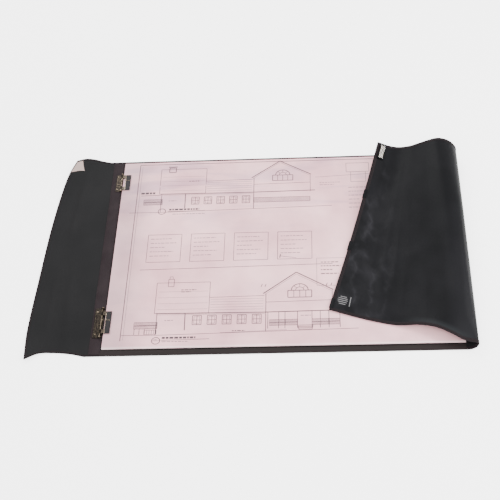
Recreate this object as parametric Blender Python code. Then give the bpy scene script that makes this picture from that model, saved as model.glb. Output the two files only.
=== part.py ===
"""Roll-up drawing case, opened out: a mat with two folding flaps, two sprung clips and a set of drawings."""

import math

import bmesh
import bpy
import numpy as np
from mathutils import Vector

# ---------------------------------------------------------------- driving dimensions, in millimetres
SHEET_WIDTH = 914.0
SHEET_DEPTH = 610.0
SHEET_THICKNESS = 0.4
SHEET_COUNT = 4
GAP = 0.3

CENTRE_X = 370.69  # middle of the whole case, measured from the drawings' front left corner
CENTRE_Y = 300.55

SHELL_THICKNESS = 0.9
LINING_THICKNESS = 0.7
CLOTH_THICKNESS = SHELL_THICKNESS + GAP + LINING_THICKNESS
TAPE_WIDTH = 2.2
HEM_LIFT = 0.7  # the hem and the corner label stand this far off the curved cloth
LABEL_LIFT = 1.4

MAT_LEFT = -42.0
MAT_FRONT = -18.0
MAT_BACK = 617.0
FLAT_END = 915.0  # the mat is flat up to here, then rises into the right fold

LEFT_HINGE_X = -42.6
SPINE_LEFT = -33.0
SPINE_RIGHT = -3.0
SPINE_THICKNESS = 0.8

FOLD_X = 943.5  # outermost line of the right fold
FOLD_FRONT_Z = 24.5
FOLD_BACK_Z = 49.0
FOLD_SPLIT = 0.5  # half the slit between the mat's lip and the flap, along the fold

CLIPS = {  # the upper clip is shorter and sits nearer the drawings than the lower one
    "lower": {
        "centre": 77.0, "base_length": 88.0, "base_left": -28.0, "base_right": -3.9, "pin_x": -8.5,
        "jaw_length": 66.0, "jaw_right": 16.5, "rivet_x": -21.5, "rivet_spacing": 66.0,
    },
    "upper": {
        "centre": 538.0, "base_length": 60.0, "base_left": -20.0, "base_right": -0.6, "pin_x": -4.0,
        "jaw_length": 54.0, "jaw_right": 21.5, "rivet_x": -15.5, "rivet_spacing": 44.0,
    },
}
CLIP_BASE_THICKNESS = 1.2
PIN_Z = 7.8
PIN_RADIUS = 1.1
BARREL_RADIUS = 2.3
BORE_RADIUS = 1.4
EAR_THICKNESS = 2.4
JAW_THICKNESS = 1.2
BARREL_LENGTH = 12.0
PAD_LEFT = 10.8  # from the pin
PAD_THICKNESS = 1.3
WIRE_RADIUS = 0.4
COIL_RADIUS = 2.0
COIL_TURNS = 4
COIL_LENGTH = 12.0
RIVET_RADIUS = 1.2
RIVET_HEAD_RADIUS = 2.5
RIVET_HEAD_HEIGHT = 1.2

# the right side in outline: rows run from front to back, points run from the mat round the fold to the free edge
LIP_FRONT = [(915, -18, 0), (930, -18, 3.5), (940, -17, 12), (943.5, -15, 24.5)]
LIP_BACK = [(915, 617, 0), (932, 612, 8), (941.5, 604, 26), (943.5, 592, 48.3)]
FLAP_MARKS = (0.0, 0.09, 1 / 3, 2 / 3, 1.0)
FLAP_ROWS = [
    [(943.5, -15, 24.5), (939, -13, 28), (927, -11, 28.5), (908, -6, 29), (881, 7, 36.5), (843, 27, 37),
     (800, 43, 24), (745, 51, 10.5), (690, 64, 9.5), (635, 81, 9.5), (579, 100, 10.5)],
    [(943.5, 41, 26.7), (939.3, 44, 38), (927, 47, 46), (908.5, 52, 49.5), (881.5, 62, 46.6), (845.5, 78, 36),
     (803, 93, 22), (751, 104, 13), (698, 118, 10.5), (645.5, 133, 10.3), (592, 148, 10.9)],
    [(943.5, 194, 32.7), (940, 196, 46), (929, 199, 56.5), (912, 202, 61.5), (886, 208, 59), (852, 219, 46),
     (812, 229, 30), (766, 238, 18), (720, 248, 12.5), (674, 258, 11), (628, 269, 12)],
    [(943.5, 403, 40.8), (940.5, 403, 56), (930, 404, 67), (912, 406, 74), (888, 409, 75), (858, 413, 66),
     (824, 419, 51), (786, 425, 37), (750, 431, 29), (714, 436, 26.5), (678, 441, 29)],
    [(943.5, 592, 48.3), (939, 595, 59), (927, 600, 71), (909, 603, 80), (888, 604, 83), (866, 603, 77),
     (840, 602, 66), (815, 602, 54.5), (785, 603, 49.5), (755, 604, 57), (727, 606, 70)],
]
LEFT_ROWS = [
    (0.0, [(-43.4, -18, 0), (-80, -10, 0), (-120, -6, 0.5), (-160, -8, 3), (-193, -27, 9)]),
    (0.12, [(-43.4, 58, 0), (-80, 60, 0), (-120, 62, 0), (-160, 62, 0.5), (-199.5, 60, 2)]),
    (0.35, [(-43.4, 204, 0), (-80, 206, 0), (-120, 208, 0), (-160, 210, 0), (-194, 210, 0.5)]),
    (0.6, [(-43.4, 363, 0), (-80, 365, 0), (-120, 367, 0), (-152, 369, 0), (-186, 370, 0.5)]),
    (0.82, [(-43.4, 503, 0), (-76, 505, 0), (-110, 507, 0), (-142, 509, 1), (-173, 500, 3)]),
    (0.93, [(-43.4, 573, 0), (-72, 577, 0.5), (-101, 580, 2), (-130, 582, 4.5), (-159, 573, 8)]),
    (1.0, [(-43.4, 617, 0), (-68, 622, 2), (-92, 627, 6), (-117, 628, 9), (-141, 619, 12)]),
]

TAB_PLACES = (0.03, 0.38, 0.69)  # along the free edge, from the front
TAB_LENGTH = 26.0
POCKET_ALONG = 0.953
POCKET_LENGTH = 44.0
POCKET_WIDTH = 19.0
POCKET_INSET = 16.5
POCKET_LIFT = 2.6

MATERIALS = {
    "shell_cloth": ((0.030, 0.034, 0.038), 0.45, 0.0),
    "lining_cloth": ((0.045, 0.046, 0.046), 0.6, 0.0),
    "edge_tape": ((0.055, 0.040, 0.045), 0.6, 0.0),
    "spine_cloth": ((0.060, 0.042, 0.048), 0.6, 0.0),
    "clip_steel": ((0.45, 0.43, 0.40), 0.3, 1.0),
    "clip_dark": ((0.05, 0.04, 0.05), 0.4, 0.0),
    "pad_rubber": ((0.02, 0.02, 0.02), 0.8, 0.0),
    "drawing_paper": ((0.80, 0.72, 0.72), 0.7, 0.0),
    "label_card": ((0.85, 0.83, 0.76), 0.7, 0.0),
    "clear_window": ((0.9, 0.9, 0.9), 0.1, 0.0),
}

for old in list(bpy.data.objects):
    bpy.data.objects.remove(old, do_unlink=True)

parts = bpy.data.collections.new("drawing_case")
cutters = bpy.data.collections.new("cutters")
bpy.context.scene.collection.children.link(parts)
bpy.context.scene.collection.children.link(cutters)

made_materials = {}
for material_name, (colour, roughness, metallic) in MATERIALS.items():
    material = bpy.data.materials.new(material_name)
    material.use_nodes = True
    shader = material.node_tree.nodes["Principled BSDF"]
    shader.inputs["Base Color"].default_value = (*colour, 1.0)
    shader.inputs["Roughness"].default_value = roughness
    shader.inputs["Metallic"].default_value = metallic
    made_materials[material_name] = material


# ---------------------------------------------------------------- helpers
def place(point):
    """Case coordinates in millimetres to the world in metres."""
    return Vector(((point[0] - CENTRE_X) / 1000, (point[1] - CENTRE_Y) / 1000, point[2] / 1000))


def add_mesh(name, points, faces, material, origin=None, smooth=False, collection=None):
    """Puts one closed mesh, given in case coordinates, in the scene with its origin at a chosen point."""
    at = place(origin) if origin is not None else Vector((0, 0, 0))
    mesh = bpy.data.meshes.new(name)
    mesh.from_pydata([place(p) - at for p in points], [], faces)
    body = bmesh.new()
    body.from_mesh(mesh)
    bmesh.ops.recalc_face_normals(body, faces=body.faces)
    body.to_mesh(mesh)
    body.free()
    for face in mesh.polygons:
        face.use_smooth = smooth
    mesh.update()
    thing = bpy.data.objects.new(name, mesh)
    thing.location = at
    (collection or parts).objects.link(thing)
    if material:
        mesh.materials.append(made_materials[material])
    return thing


def box(name, low, high, material, origin=None, collection=None):
    """An upright block between two opposite corners."""
    points = [(x, y, z) for x in (low[0], high[0]) for y in (low[1], high[1]) for z in (low[2], high[2])]
    faces = [(0, 1, 3, 2), (4, 6, 7, 5), (0, 4, 5, 1), (2, 3, 7, 6), (0, 2, 6, 4), (1, 5, 7, 3)]
    return add_mesh(name, points, faces, material, origin, collection=collection)


def rod(name, centre, radius, low, high, axis, material, sides=20, origin=None, collection=None):
    """A cylinder along y or z, from low to high on that axis."""
    points = []
    for end in (low, high):
        for i in range(sides):
            turn = 2 * math.pi * i / sides
            a = centre[0] + radius * math.cos(turn)
            b = centre[1] + radius * math.sin(turn)
            points.append((a, end, b) if axis == "y" else (a, b, end))
    faces = [(i, (i + 1) % sides, sides + (i + 1) % sides, sides + i) for i in range(sides)]
    faces += [tuple(range(sides)), tuple(range(sides, 2 * sides))]
    return add_mesh(name, points, faces, material, origin, smooth=False, collection=collection)


def combine(thing, tool, operation):
    """Joins or cuts with a second solid, which stays in the cutters' collection."""
    tool.hide_render = True
    tool.display_type = "WIRE"
    change = thing.modifiers.new(operation.lower(), "BOOLEAN")
    change.operation = operation
    change.solver = "EXACT"
    change.object = tool
    return thing


def curve_through(points, t, level_start=False):
    """A smooth curve through evenly counted points, t from 0 to 1; beyond the ends it runs on straight."""
    points = np.asarray(points, float)
    last = len(points) - 1
    before = 2 * points[0] - points[1]
    if level_start:
        before[2] = points[1][2]
    padded = np.vstack([before, points, 2 * points[-1] - points[-2]])
    at = min(max(t, 0.0), 1.0) * last
    i = min(int(at), last - 1)
    f = at - i
    a, b, c, d = padded[i:i + 4]
    value = 0.5 * (2 * b + (c - a) * f + (2 * a - 5 * b + 4 * c - d) * f * f + (3 * b - a - 3 * c + d) * f ** 3)
    if t < 0 or t > 1:
        end = 0 if t < 0 else last
        slope = (padded[end + 2] - padded[end]) / 2 * last
        value = value + slope * (t - min(max(t, 0.0), 1.0))
    return value


def by_rows(rows, marks=None, level_start=False):
    """A surface through rows of points, as a function of u along each row and v from row to row."""
    marks = marks or [i / (len(rows) - 1) for i in range(len(rows))]

    def surface(u, v):
        across = [curve_through(row, u, level_start) for row in rows]
        inside = min(max(v, 0.0), 1.0)
        k = 0
        while k < len(marks) - 2 and inside > marks[k + 1]:
            k += 1
        f = (v - marks[k]) / (marks[k + 1] - marks[k])
        a = across[k - 1] if k > 0 else 2 * across[k] - across[k + 1]
        b, c = across[k], across[k + 1]
        d = across[k + 2] if k + 2 < len(across) else 2 * c - b
        before = marks[k] - marks[k - 1] if k > 0 else marks[k + 1] - marks[k]
        step = marks[k + 1] - marks[k]
        after = marks[k + 2] - marks[k + 1] if k + 2 < len(marks) else step
        slope_b = (c - a) / (before + step) * step
        slope_c = (d - b) / (step + after) * step
        if f < 0:
            return b + slope_b * f
        if f > 1:
            return c + slope_c * (f - 1)
        return (
            (2 * f ** 3 - 3 * f ** 2 + 1) * b + (f ** 3 - 2 * f ** 2 + f) * slope_b
            + (3 * f ** 2 - 2 * f ** 3) * c + (f ** 3 - f ** 2) * slope_c
        )

    return surface


def inward(surface, u, v):
    """The unit normal that points from the case's outside to its inside."""
    e = 2e-4
    along = surface(u + e, v) - surface(u - e, v)
    back = surface(u, v + e) - surface(u, v - e)
    normal = np.cross(along, back)
    return normal / np.linalg.norm(normal)


def layer(name, surface, us, vs, near, far, material, side=1.0, origin=None):
    """A closed slab that follows a surface between two depths below its outer face."""
    grid = []
    for depth in (near, far):
        for v in vs:
            for u in us:
                grid.append(surface(u, v) + side * depth * inward(surface, u, v))
    columns, rows = len(us), len(vs)
    one = columns * rows

    def at(i, j, sheet):
        return sheet * one + j * columns + i

    faces = []
    for j in range(rows - 1):
        for i in range(columns - 1):
            for sheet in (0, 1):
                a, b = at(i, j, sheet), at(i + 1, j, sheet)
                c, d = at(i + 1, j + 1, sheet), at(i, j + 1, sheet)
                faces += [(a, b, c), (a, c, d)]
    for i in range(columns - 1):
        for j in (0, rows - 1):
            a, b, c, d = at(i, j, 0), at(i + 1, j, 0), at(i + 1, j, 1), at(i, j, 1)
            faces += [(a, b, c), (a, c, d)]
    for j in range(rows - 1):
        for i in (0, columns - 1):
            a, b, c, d = at(i, j, 0), at(i, j + 1, 0), at(i, j + 1, 1), at(i, j, 1)
            faces += [(a, b, c), (a, c, d)]
    return add_mesh(name, grid, faces, material, origin)


def spread(low, high, count):
    return [low + (high - low) * i / (count - 1) for i in range(count)]


def tube(name, path, radius, sides, material, origin=None):
    """A round wire along a path."""
    path = [np.asarray(p, float) for p in path]
    points = []
    for i, p in enumerate(path):
        ahead = path[min(i + 1, len(path) - 1)] - path[max(i - 1, 0)]
        ahead = ahead / np.linalg.norm(ahead)
        first = np.cross(ahead, (0.0, 1.0, 0.0))
        first = first / np.linalg.norm(first)
        second = np.cross(ahead, first)
        for k in range(sides):
            turn = 2 * math.pi * k / sides
            points.append(p + radius * (math.cos(turn) * first + math.sin(turn) * second))
    faces = []
    for i in range(len(path) - 1):
        for k in range(sides):
            a, b = i * sides + k, i * sides + (k + 1) % sides
            faces.append((a, b, b + sides, a + sides))
    faces += [tuple(range(sides)), tuple(range((len(path) - 1) * sides, len(path) * sides))]
    return add_mesh(name, points, faces, material, origin)


# ---------------------------------------------------------------- the mat, which stays on the table
LINING_TOP = CLOTH_THICKNESS
LINING_NEAR = SHELL_THICKNESS + GAP
fold_rows = []
for share, flap_row in zip(FLAP_MARKS, FLAP_ROWS):
    lip_row = np.asarray(LIP_FRONT, float) * (1 - share) + np.asarray(LIP_BACK, float) * share
    fold_rows.append([*lip_row[:-1], *np.asarray(flap_row, float)])
fold = by_rows(fold_rows, FLAP_MARKS, level_start=True)
LIP_SHARE = (len(LIP_FRONT) - 1) / (len(fold_rows[0]) - 1)


def lip(u, v):
    """The mat's rising edge, from the flat mat to the fold's outermost line."""
    return fold(u * LIP_SHARE, v)


def right(u, v):
    """The right flap, from the fold's outermost line to its free edge."""
    return fold(LIP_SHARE + u * (1 - LIP_SHARE), v)


def mat_surface(u, v):
    """u from 0 to 1 is the flat mat, and from 1 to 2 the lip that rises into the fold."""
    if u <= 1:
        return np.array([
            MAT_LEFT + (FLAT_END - MAT_LEFT) * u,
            MAT_FRONT + (MAT_BACK - MAT_FRONT) * v,
            0.0,
        ])
    return lip(u - 1, v)


def mat_inward(surface, u, v):
    if u <= 1:
        return np.array([0.0, 0.0, 1.0])
    return inward(lip, min(u - 1, 1.0), v)


def flat_then_lip(name, u_flat, vs, near, far, material):
    """A mat layer: flat part and lip in one closed slab."""
    us = u_flat + [1 + s for s in (0.12, 0.25, 0.4, 0.55, 0.7, 0.85, 0.985)]
    grid = []
    for depth in (near, far):
        for v in vs:
            for u in us:
                grid.append(mat_surface(u, v) + depth * mat_inward(mat_surface, u, v))
    columns, rows = len(us), len(vs)
    one = columns * rows
    faces = []
    for j in range(rows - 1):
        for i in range(columns - 1):
            for sheet in (0, 1):
                a = sheet * one + j * columns + i
                faces += [(a, a + 1, a + columns + 1), (a, a + columns + 1, a + columns)]
    for i in range(columns - 1):
        for j in (0, rows - 1):
            a = j * columns + i
            faces += [(a, a + 1, a + 1 + one), (a, a + 1 + one, a + one)]
    for j in range(rows - 1):
        for i in (0, columns - 1):
            a = j * columns + i
            faces += [(a, a + columns, a + columns + one), (a, a + columns + one, a + one)]
    return add_mesh(name, grid, faces, material)


MAT_COLUMNS = [0.0, 0.045, 0.3, 0.65, 1.0]
MAT_ROWS = spread(0.0, 1.0, 9)
SLACK = 0.8 / (MAT_BACK - MAT_FRONT)
TAPE_SHARE = TAPE_WIDTH / (MAT_BACK - MAT_FRONT)
mat_shell = flat_then_lip("mat_shell", MAT_COLUMNS, MAT_ROWS, 0.0, SHELL_THICKNESS, "shell_cloth")
mat_lining = flat_then_lip("mat_lining", MAT_COLUMNS, MAT_ROWS, LINING_NEAR, CLOTH_THICKNESS, "lining_cloth")
flat_then_lip("mat_front_tape", [0.0, 1.0], [-SLACK - TAPE_SHARE, -SLACK], GAP, CLOTH_THICKNESS, "edge_tape")
flat_then_lip("mat_back_tape", [0.0, 1.0], [1 + SLACK, 1 + SLACK + TAPE_SHARE], GAP, CLOTH_THICKNESS, "edge_tape")
STRIP_BOTTOM = CLOTH_THICKNESS + GAP
STRIP_TOP = STRIP_BOTTOM + SPINE_THICKNESS
spine = box(
    "spine_strip",
    (SPINE_LEFT, MAT_FRONT + 4, STRIP_BOTTOM),
    (SPINE_RIGHT, MAT_BACK - 4, STRIP_TOP),
    "spine_cloth",
)

# ---------------------------------------------------------------- the left flap
left_rows = by_rows([row for _, row in LEFT_ROWS], [mark for mark, _ in LEFT_ROWS])


def left(u, v):
    """The left flap's outer face, which lies on the table and lifts at its free corners."""
    point = left_rows(u, v)
    point[2] = max(point[2], 0.0)
    return point


left_origin = (LEFT_HINGE_X, (MAT_FRONT + MAT_BACK) / 2, CLOTH_THICKNESS)
LEFT_COLUMNS = spread(0.0, 1.0, 9)
LEFT_STEPS = spread(0.0, 1.0, 15)
layer("left_flap_shell", left, LEFT_COLUMNS, LEFT_STEPS, 0.0, SHELL_THICKNESS, "shell_cloth", -1.0, left_origin)
layer(
    "left_flap_lining", left, LEFT_COLUMNS, LEFT_STEPS, LINING_NEAR, CLOTH_THICKNESS, "lining_cloth", -1.0,
    left_origin,
)
layer(
    "left_flap_free_tape", left, [1.003, 1.017], LEFT_STEPS, GAP, CLOTH_THICKNESS, "edge_tape", -1.0, left_origin
)
layer(
    "left_flap_front_tape", left, LEFT_COLUMNS, [-SLACK - TAPE_SHARE, -SLACK], GAP, CLOTH_THICKNESS,
    "edge_tape", -1.0, left_origin,
)
layer(
    "left_flap_back_tape", left, LEFT_COLUMNS, [1 + SLACK, 1 + SLACK + TAPE_SHARE], GAP, CLOTH_THICKNESS,
    "edge_tape", -1.0, left_origin,
)
layer(
    "corner_label", left, spread(0.80, 0.985, 5), spread(0.925, 0.99, 5), CLOTH_THICKNESS + LABEL_LIFT,
    CLOTH_THICKNESS + LABEL_LIFT + 0.4, "label_card", -1.0, left_origin,
)

# ---------------------------------------------------------------- the right flap
right_origin = (FOLD_X + 0.4, (MAT_FRONT + MAT_BACK) / 2, (FOLD_FRONT_Z + FOLD_BACK_Z) / 2)
RIGHT_START = 0.0016
RIGHT_COLUMNS = [RIGHT_START] + spread(0.04, 1.0, 25)
RIGHT_STEPS = spread(0.0, 1.0, 13)
layer("right_flap_shell", right, RIGHT_COLUMNS, RIGHT_STEPS, 0.0, SHELL_THICKNESS, "shell_cloth", 1.0, right_origin)
layer(
    "right_flap_lining", right, RIGHT_COLUMNS, RIGHT_STEPS, LINING_NEAR, CLOTH_THICKNESS, "lining_cloth", 1.0,
    right_origin,
)
layer(
    "right_flap_front_tape", right, RIGHT_COLUMNS, [-SLACK - TAPE_SHARE, -SLACK], 0.0, CLOTH_THICKNESS,
    "edge_tape", 1.0, right_origin,
)
layer(
    "right_flap_back_tape", right, RIGHT_COLUMNS, [1 + SLACK, 1 + SLACK + TAPE_SHARE], 0.0, CLOTH_THICKNESS,
    "edge_tape", 1.0, right_origin,
)
layer(
    "free_edge_hem", right, spread(0.965, 0.998, 3), [0.002, *RIGHT_STEPS[1:-1], 0.998], -HEM_LIFT - 0.6, -HEM_LIFT,
    "edge_tape", 1.0, right_origin,
)

# ---------------------------------------------------------------- closure tabs, folded round the free edge
edge_length = sum(
    float(np.linalg.norm(right(1.0, a + 0.02) - right(1.0, a))) for a in spread(0.0, 0.98, 50)
)
for number, along in enumerate(TAB_PLACES, 1):
    half = TAB_LENGTH / edge_length / 2
    layer(
        f"closure_tab_{number}", right, spread(1.0016, 1.0125, 2), spread(along - half + 0.004, along + half + 0.004, 3),
        -GAP - 1.0, CLOTH_THICKNESS + 1.0, "edge_tape", 1.0, right_origin,
    )

# ---------------------------------------------------------------- label pocket, card and clear window
pocket_point = right(1.0, POCKET_ALONG)
edge_way = right(1.0, POCKET_ALONG + 0.04) - right(1.0, POCKET_ALONG - 0.04)
edge_way = edge_way / np.linalg.norm(edge_way)
out_way = -inward(right, 0.965, POCKET_ALONG)
in_way = np.cross(out_way, edge_way)
out_way = np.cross(edge_way, in_way)
in_way = in_way / np.linalg.norm(in_way)
if in_way[0] < 0:
    in_way = -in_way
pocket_point = pocket_point + POCKET_INSET * in_way + POCKET_LIFT * out_way


def in_pocket(x, y, z):
    """Pocket coordinates: x along the free edge, y away from it, z off the cloth."""
    return pocket_point + x * edge_way + y * in_way + z * out_way


def pocket_profile(name, outline, length, material):
    """A piece of constant section in the pocket, run along the free edge."""
    count = len(outline)
    points = [in_pocket(x, y, z) for x in (-length / 2, length / 2) for y, z in outline]
    faces = [(i, (i + 1) % count, count + (i + 1) % count, count + i) for i in range(count)]
    faces += [tuple(range(count)), tuple(range(count, 2 * count))]
    return add_mesh(name, points, faces, material, right_origin)


half_width = POCKET_WIDTH / 2
pocket_profile(
    "label_pocket",
    [(-half_width, 0), (half_width, 0), (half_width, 1.5), (half_width - 1.6, 1.5), (half_width - 1.6, 0.5),
     (1.6 - half_width, 0.5), (1.6 - half_width, 1.5), (-half_width, 1.5)],
    POCKET_LENGTH, "edge_tape",
)
pocket_profile(
    "label_card",
    [(1.9 - half_width, 0.8), (half_width - 1.9, 0.8), (half_width - 1.9, 1.15), (1.9 - half_width, 1.15)],
    POCKET_LENGTH - 3, "label_card",
)
pocket_profile(
    "label_window",
    [(-half_width, 1.8), (half_width, 1.8), (half_width, 2.2), (-half_width, 2.2)],
    POCKET_LENGTH, "clear_window",
)

# ---------------------------------------------------------------- the drawing set
sheet_bottom = CLOTH_THICKNESS + GAP
for number in range(SHEET_COUNT):
    bottom = sheet_bottom + number * (SHEET_THICKNESS + GAP)
    box(
        f"drawing_sheet_{number + 1}", (0.0, 0.0, bottom), (SHEET_WIDTH, SHEET_DEPTH, bottom + SHEET_THICKNESS),
        "drawing_paper",
    )
SHEETS_TOP = sheet_bottom + SHEET_COUNT * SHEET_THICKNESS + (SHEET_COUNT - 1) * GAP

# ---------------------------------------------------------------- the two sprung clips
base_bottom = STRIP_TOP + GAP
base_top = base_bottom + CLIP_BASE_THICKNESS
rivet_holes = []
for side, clip in CLIPS.items():
    centre, pin_x, jaw_right, rivet_x = clip["centre"], clip["pin_x"], clip["jaw_right"], clip["rivet_x"]
    low, high = centre - clip["base_length"] / 2, centre + clip["base_length"] / 2
    base = box(
        f"{side}_clip_base", (clip["base_left"], low, base_bottom), (clip["base_right"], high, base_top), "clip_steel"
    )
    for end, (a, b) in enumerate(((low, low + EAR_THICKNESS), (high - EAR_THICKNESS, high))):
        ear = box(
            f"{side}_ear_{end}", (pin_x - 3.2, a, base_bottom + 0.4), (pin_x + 3.2, b, PIN_Z + 3.2), None,
            collection=cutters,
        )
        combine(base, ear, "UNION")
    bore = rod(
        f"{side}_bore", (pin_x, PIN_Z), BORE_RADIUS, low - 2, high + 2, "y", None, 24, collection=cutters
    )
    combine(base, bore, "DIFFERENCE")

    hinge = (pin_x, centre, PIN_Z)
    jaw_low, jaw_high = centre - clip["jaw_length"] / 2, centre + clip["jaw_length"] / 2
    jaw = box(
        f"{side}_jaw", (pin_x + 1.75, jaw_low, PIN_Z - JAW_THICKNESS), (jaw_right, jaw_high, PIN_Z), "clip_dark", hinge
    )
    barrels = ((jaw_low, jaw_low + BARREL_LENGTH), (jaw_high - BARREL_LENGTH, jaw_high))
    for end, (a, b) in enumerate(barrels):
        barrel = rod(f"{side}_barrel_{end}", (pin_x, PIN_Z), BARREL_RADIUS, a, b, "y", None, 24, collection=cutters)
        combine(jaw, barrel, "UNION")
    slot = box(
        f"{side}_slot", (pin_x - 4, jaw_low + BARREL_LENGTH, PIN_Z - 4), (pin_x + 5.2, jaw_high - BARREL_LENGTH, PIN_Z + 4),
        None, collection=cutters,
    )
    combine(jaw, slot, "DIFFERENCE")
    jaw_bore = rod(
        f"{side}_jaw_bore", (pin_x, PIN_Z), BORE_RADIUS, jaw_low - 2, jaw_high + 2, "y", None, 24, collection=cutters
    )
    combine(jaw, jaw_bore, "DIFFERENCE")
    box(
        f"{side}_jaw_pad", (pin_x + PAD_LEFT, jaw_low + 1, SHEETS_TOP + GAP),
        (jaw_right - 0.8, jaw_high - 1, SHEETS_TOP + GAP + PAD_THICKNESS), "pad_rubber", hinge,
    )
    rod(f"{side}_pin", (pin_x, PIN_Z), PIN_RADIUS, low - 1.2, high + 1.2, "y", "clip_steel", 20, hinge)

    coil = []
    steps = COIL_TURNS * 14
    for i in range(steps + 1):
        share = i / steps
        turn = -math.pi / 2 - 2 * math.pi * (COIL_TURNS + 0.5) * share
        coil.append((
            pin_x + COIL_RADIUS * math.cos(turn),
            centre - COIL_LENGTH / 2 + COIL_LENGTH * share,
            PIN_Z + COIL_RADIUS * math.sin(turn),
        ))
    start = [(pin_x - 11.5, coil[0][1], coil[0][2] - 0.55), (pin_x - 3.0, coil[0][1], coil[0][2] - 0.1)]
    finish = [(pin_x + 4.0, coil[-1][1], coil[-1][2] - 0.2), (jaw_right - 3.0, coil[-1][1], PIN_Z + 0.9)]
    tube(f"{side}_spring", start + coil + finish, WIRE_RADIUS, 7, "clip_steel", hinge)

    for number, y in enumerate((centre - clip["rivet_spacing"] / 2, centre + clip["rivet_spacing"] / 2), 1):
        outline = [
            (0.0, 0.45), (RIVET_RADIUS, 0.45), (RIVET_RADIUS, base_top + GAP), (RIVET_HEAD_RADIUS, base_top + GAP),
            (RIVET_HEAD_RADIUS * 0.8, base_top + GAP + RIVET_HEAD_HEIGHT * 0.7),
            (0.0, base_top + GAP + RIVET_HEAD_HEIGHT),
        ]
        sides = 16
        rings = outline[1:-1]
        points = [(rivet_x, y, outline[0][1]), (rivet_x, y, outline[-1][1])]
        for radius, z in rings:
            for k in range(sides):
                turn = 2 * math.pi * k / sides
                points.append((rivet_x + radius * math.cos(turn), y + radius * math.sin(turn), z))
        faces = []
        for ring in range(len(rings) - 1):
            for k in range(sides):
                a, b = 2 + ring * sides + k, 2 + ring * sides + (k + 1) % sides
                faces.append((a, b, b + sides, a + sides))
        top = 2 + (len(rings) - 1) * sides
        for k in range(sides):
            faces.append((0, 2 + (k + 1) % sides, 2 + k))
            faces.append((1, top + k, top + (k + 1) % sides))
        add_mesh(f"{side}_rivet_{number}", points, faces, "clip_steel", (rivet_x, y, base_bottom))
        hole = rod(
            f"{side}_hole_{number}", (rivet_x, y), RIVET_RADIUS + GAP, -5, base_top + 5, "z", None, 14,
            collection=cutters,
        )
        rivet_holes.append((hole, base))

for hole, base in rivet_holes:
    combine(base, hole, "DIFFERENCE")
    for cloth in (mat_shell, mat_lining, spine):
        combine(cloth, hole, "DIFFERENCE")

bpy.context.view_layer.update()
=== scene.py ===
"""Looks for the roll-up drawing case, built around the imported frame.

Lengths are in millimetres, measured from the drawings' front left corner, until place() turns them
into the frame's metres.
"""

import math
import random

import bmesh
import bpy
import numpy as np
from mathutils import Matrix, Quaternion, Vector


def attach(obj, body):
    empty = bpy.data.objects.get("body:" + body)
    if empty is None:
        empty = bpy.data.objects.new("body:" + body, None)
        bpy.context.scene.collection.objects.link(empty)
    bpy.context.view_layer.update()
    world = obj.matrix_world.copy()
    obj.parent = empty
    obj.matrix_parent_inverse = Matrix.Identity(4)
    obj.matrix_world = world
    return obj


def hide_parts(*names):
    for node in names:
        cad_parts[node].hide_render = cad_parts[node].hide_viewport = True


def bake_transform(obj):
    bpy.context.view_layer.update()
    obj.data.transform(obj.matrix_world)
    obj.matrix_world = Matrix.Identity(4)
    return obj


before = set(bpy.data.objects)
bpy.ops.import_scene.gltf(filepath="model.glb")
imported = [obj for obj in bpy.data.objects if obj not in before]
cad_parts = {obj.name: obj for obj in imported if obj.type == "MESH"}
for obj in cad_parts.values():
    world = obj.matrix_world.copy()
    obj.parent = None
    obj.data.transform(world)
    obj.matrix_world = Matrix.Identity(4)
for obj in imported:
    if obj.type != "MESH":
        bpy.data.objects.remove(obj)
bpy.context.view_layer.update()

CENTRE_X = 370.69  # the frame's origin
CENTRE_Y = 300.55
CLOTH = 1.9  # thickness of shell and lining together
SHELL = 1.0
SHEET_WIDTH = 914.0
SHEET_DEPTH = 610.0
SHEETS_TOP = 4.7
MAT_LEFT = -42.6
MAT_FRONT = -18.0
MAT_BACK = 617.0
FLAT_END = 915.0
SEAM_X = -4.0  # the left flap's cloth runs on over the mat as far as this
LEFT_FOLD_X = -43.4
FREE_EDGE = 525.0  # length of the right flap's free edge
FLAP_REACH = 430.0  # the right flap's cloth from its fold to that edge, about

rng = random.Random(7)


# ---- materials
def add_node(material, kind, inputs, **settings):
    """Adds a node. An input's value is a plain number or colour, or the socket that feeds it."""
    node = material.node_tree.nodes.new("ShaderNode" + kind)
    for name, value in settings.items():
        setattr(node, name, value)
    for name, value in inputs.items():
        if isinstance(value, bpy.types.NodeSocket):
            material.node_tree.links.new(value, node.inputs[name])
        else:
            node.inputs[name].default_value = value
    return node


def shader_of(material):
    return material.node_tree.nodes["Principled BSDF"]


def feed(material, name, source):
    material.node_tree.links.new(source, shader_of(material).inputs[name])


def place_of(material):
    """The socket that gives a point's place in the frame, in metres."""
    return add_node(material, "TexCoord", {}).outputs["Object"]


def cloth_map(material):
    """The socket that gives a point's place on the flat cloth, in metres."""
    return add_node(material, "UVMap", {}, uv_map="cloth").outputs["UV"]


def axes_of(material, source):
    return add_node(material, "SeparateXYZ", {"Vector": source}).outputs


def new_material(name, colour, roughness, metallic=0.0, **more):
    """A Principled material with plain values; more sets further sockets by name."""
    material = bpy.data.materials.new(name)
    material.use_nodes = True
    values = {"Base_Color": (*colour, 1.0), "Roughness": roughness, "Metallic": metallic, **more}
    for socket, value in values.items():
        shader_of(material).inputs[socket.replace("_", " ")].default_value = value
    return material


def ramp_of(material, source, stops):
    """A ramp over a socket: stops are (position, value), and a value is a grey level or a colour."""
    node = add_node(material, "ValToRGB", {"Fac": source})
    elements = node.color_ramp.elements
    elements[0].position, elements[1].position = stops[0][0], stops[-1][0]
    for position, _ in stops[1:-1]:
        elements.new(position)
    for element, (_, value) in zip(elements, stops):
        element.color = (*value, 1) if isinstance(value, tuple) else (value, value, value, 1)
    return node.outputs["Color"]


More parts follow.
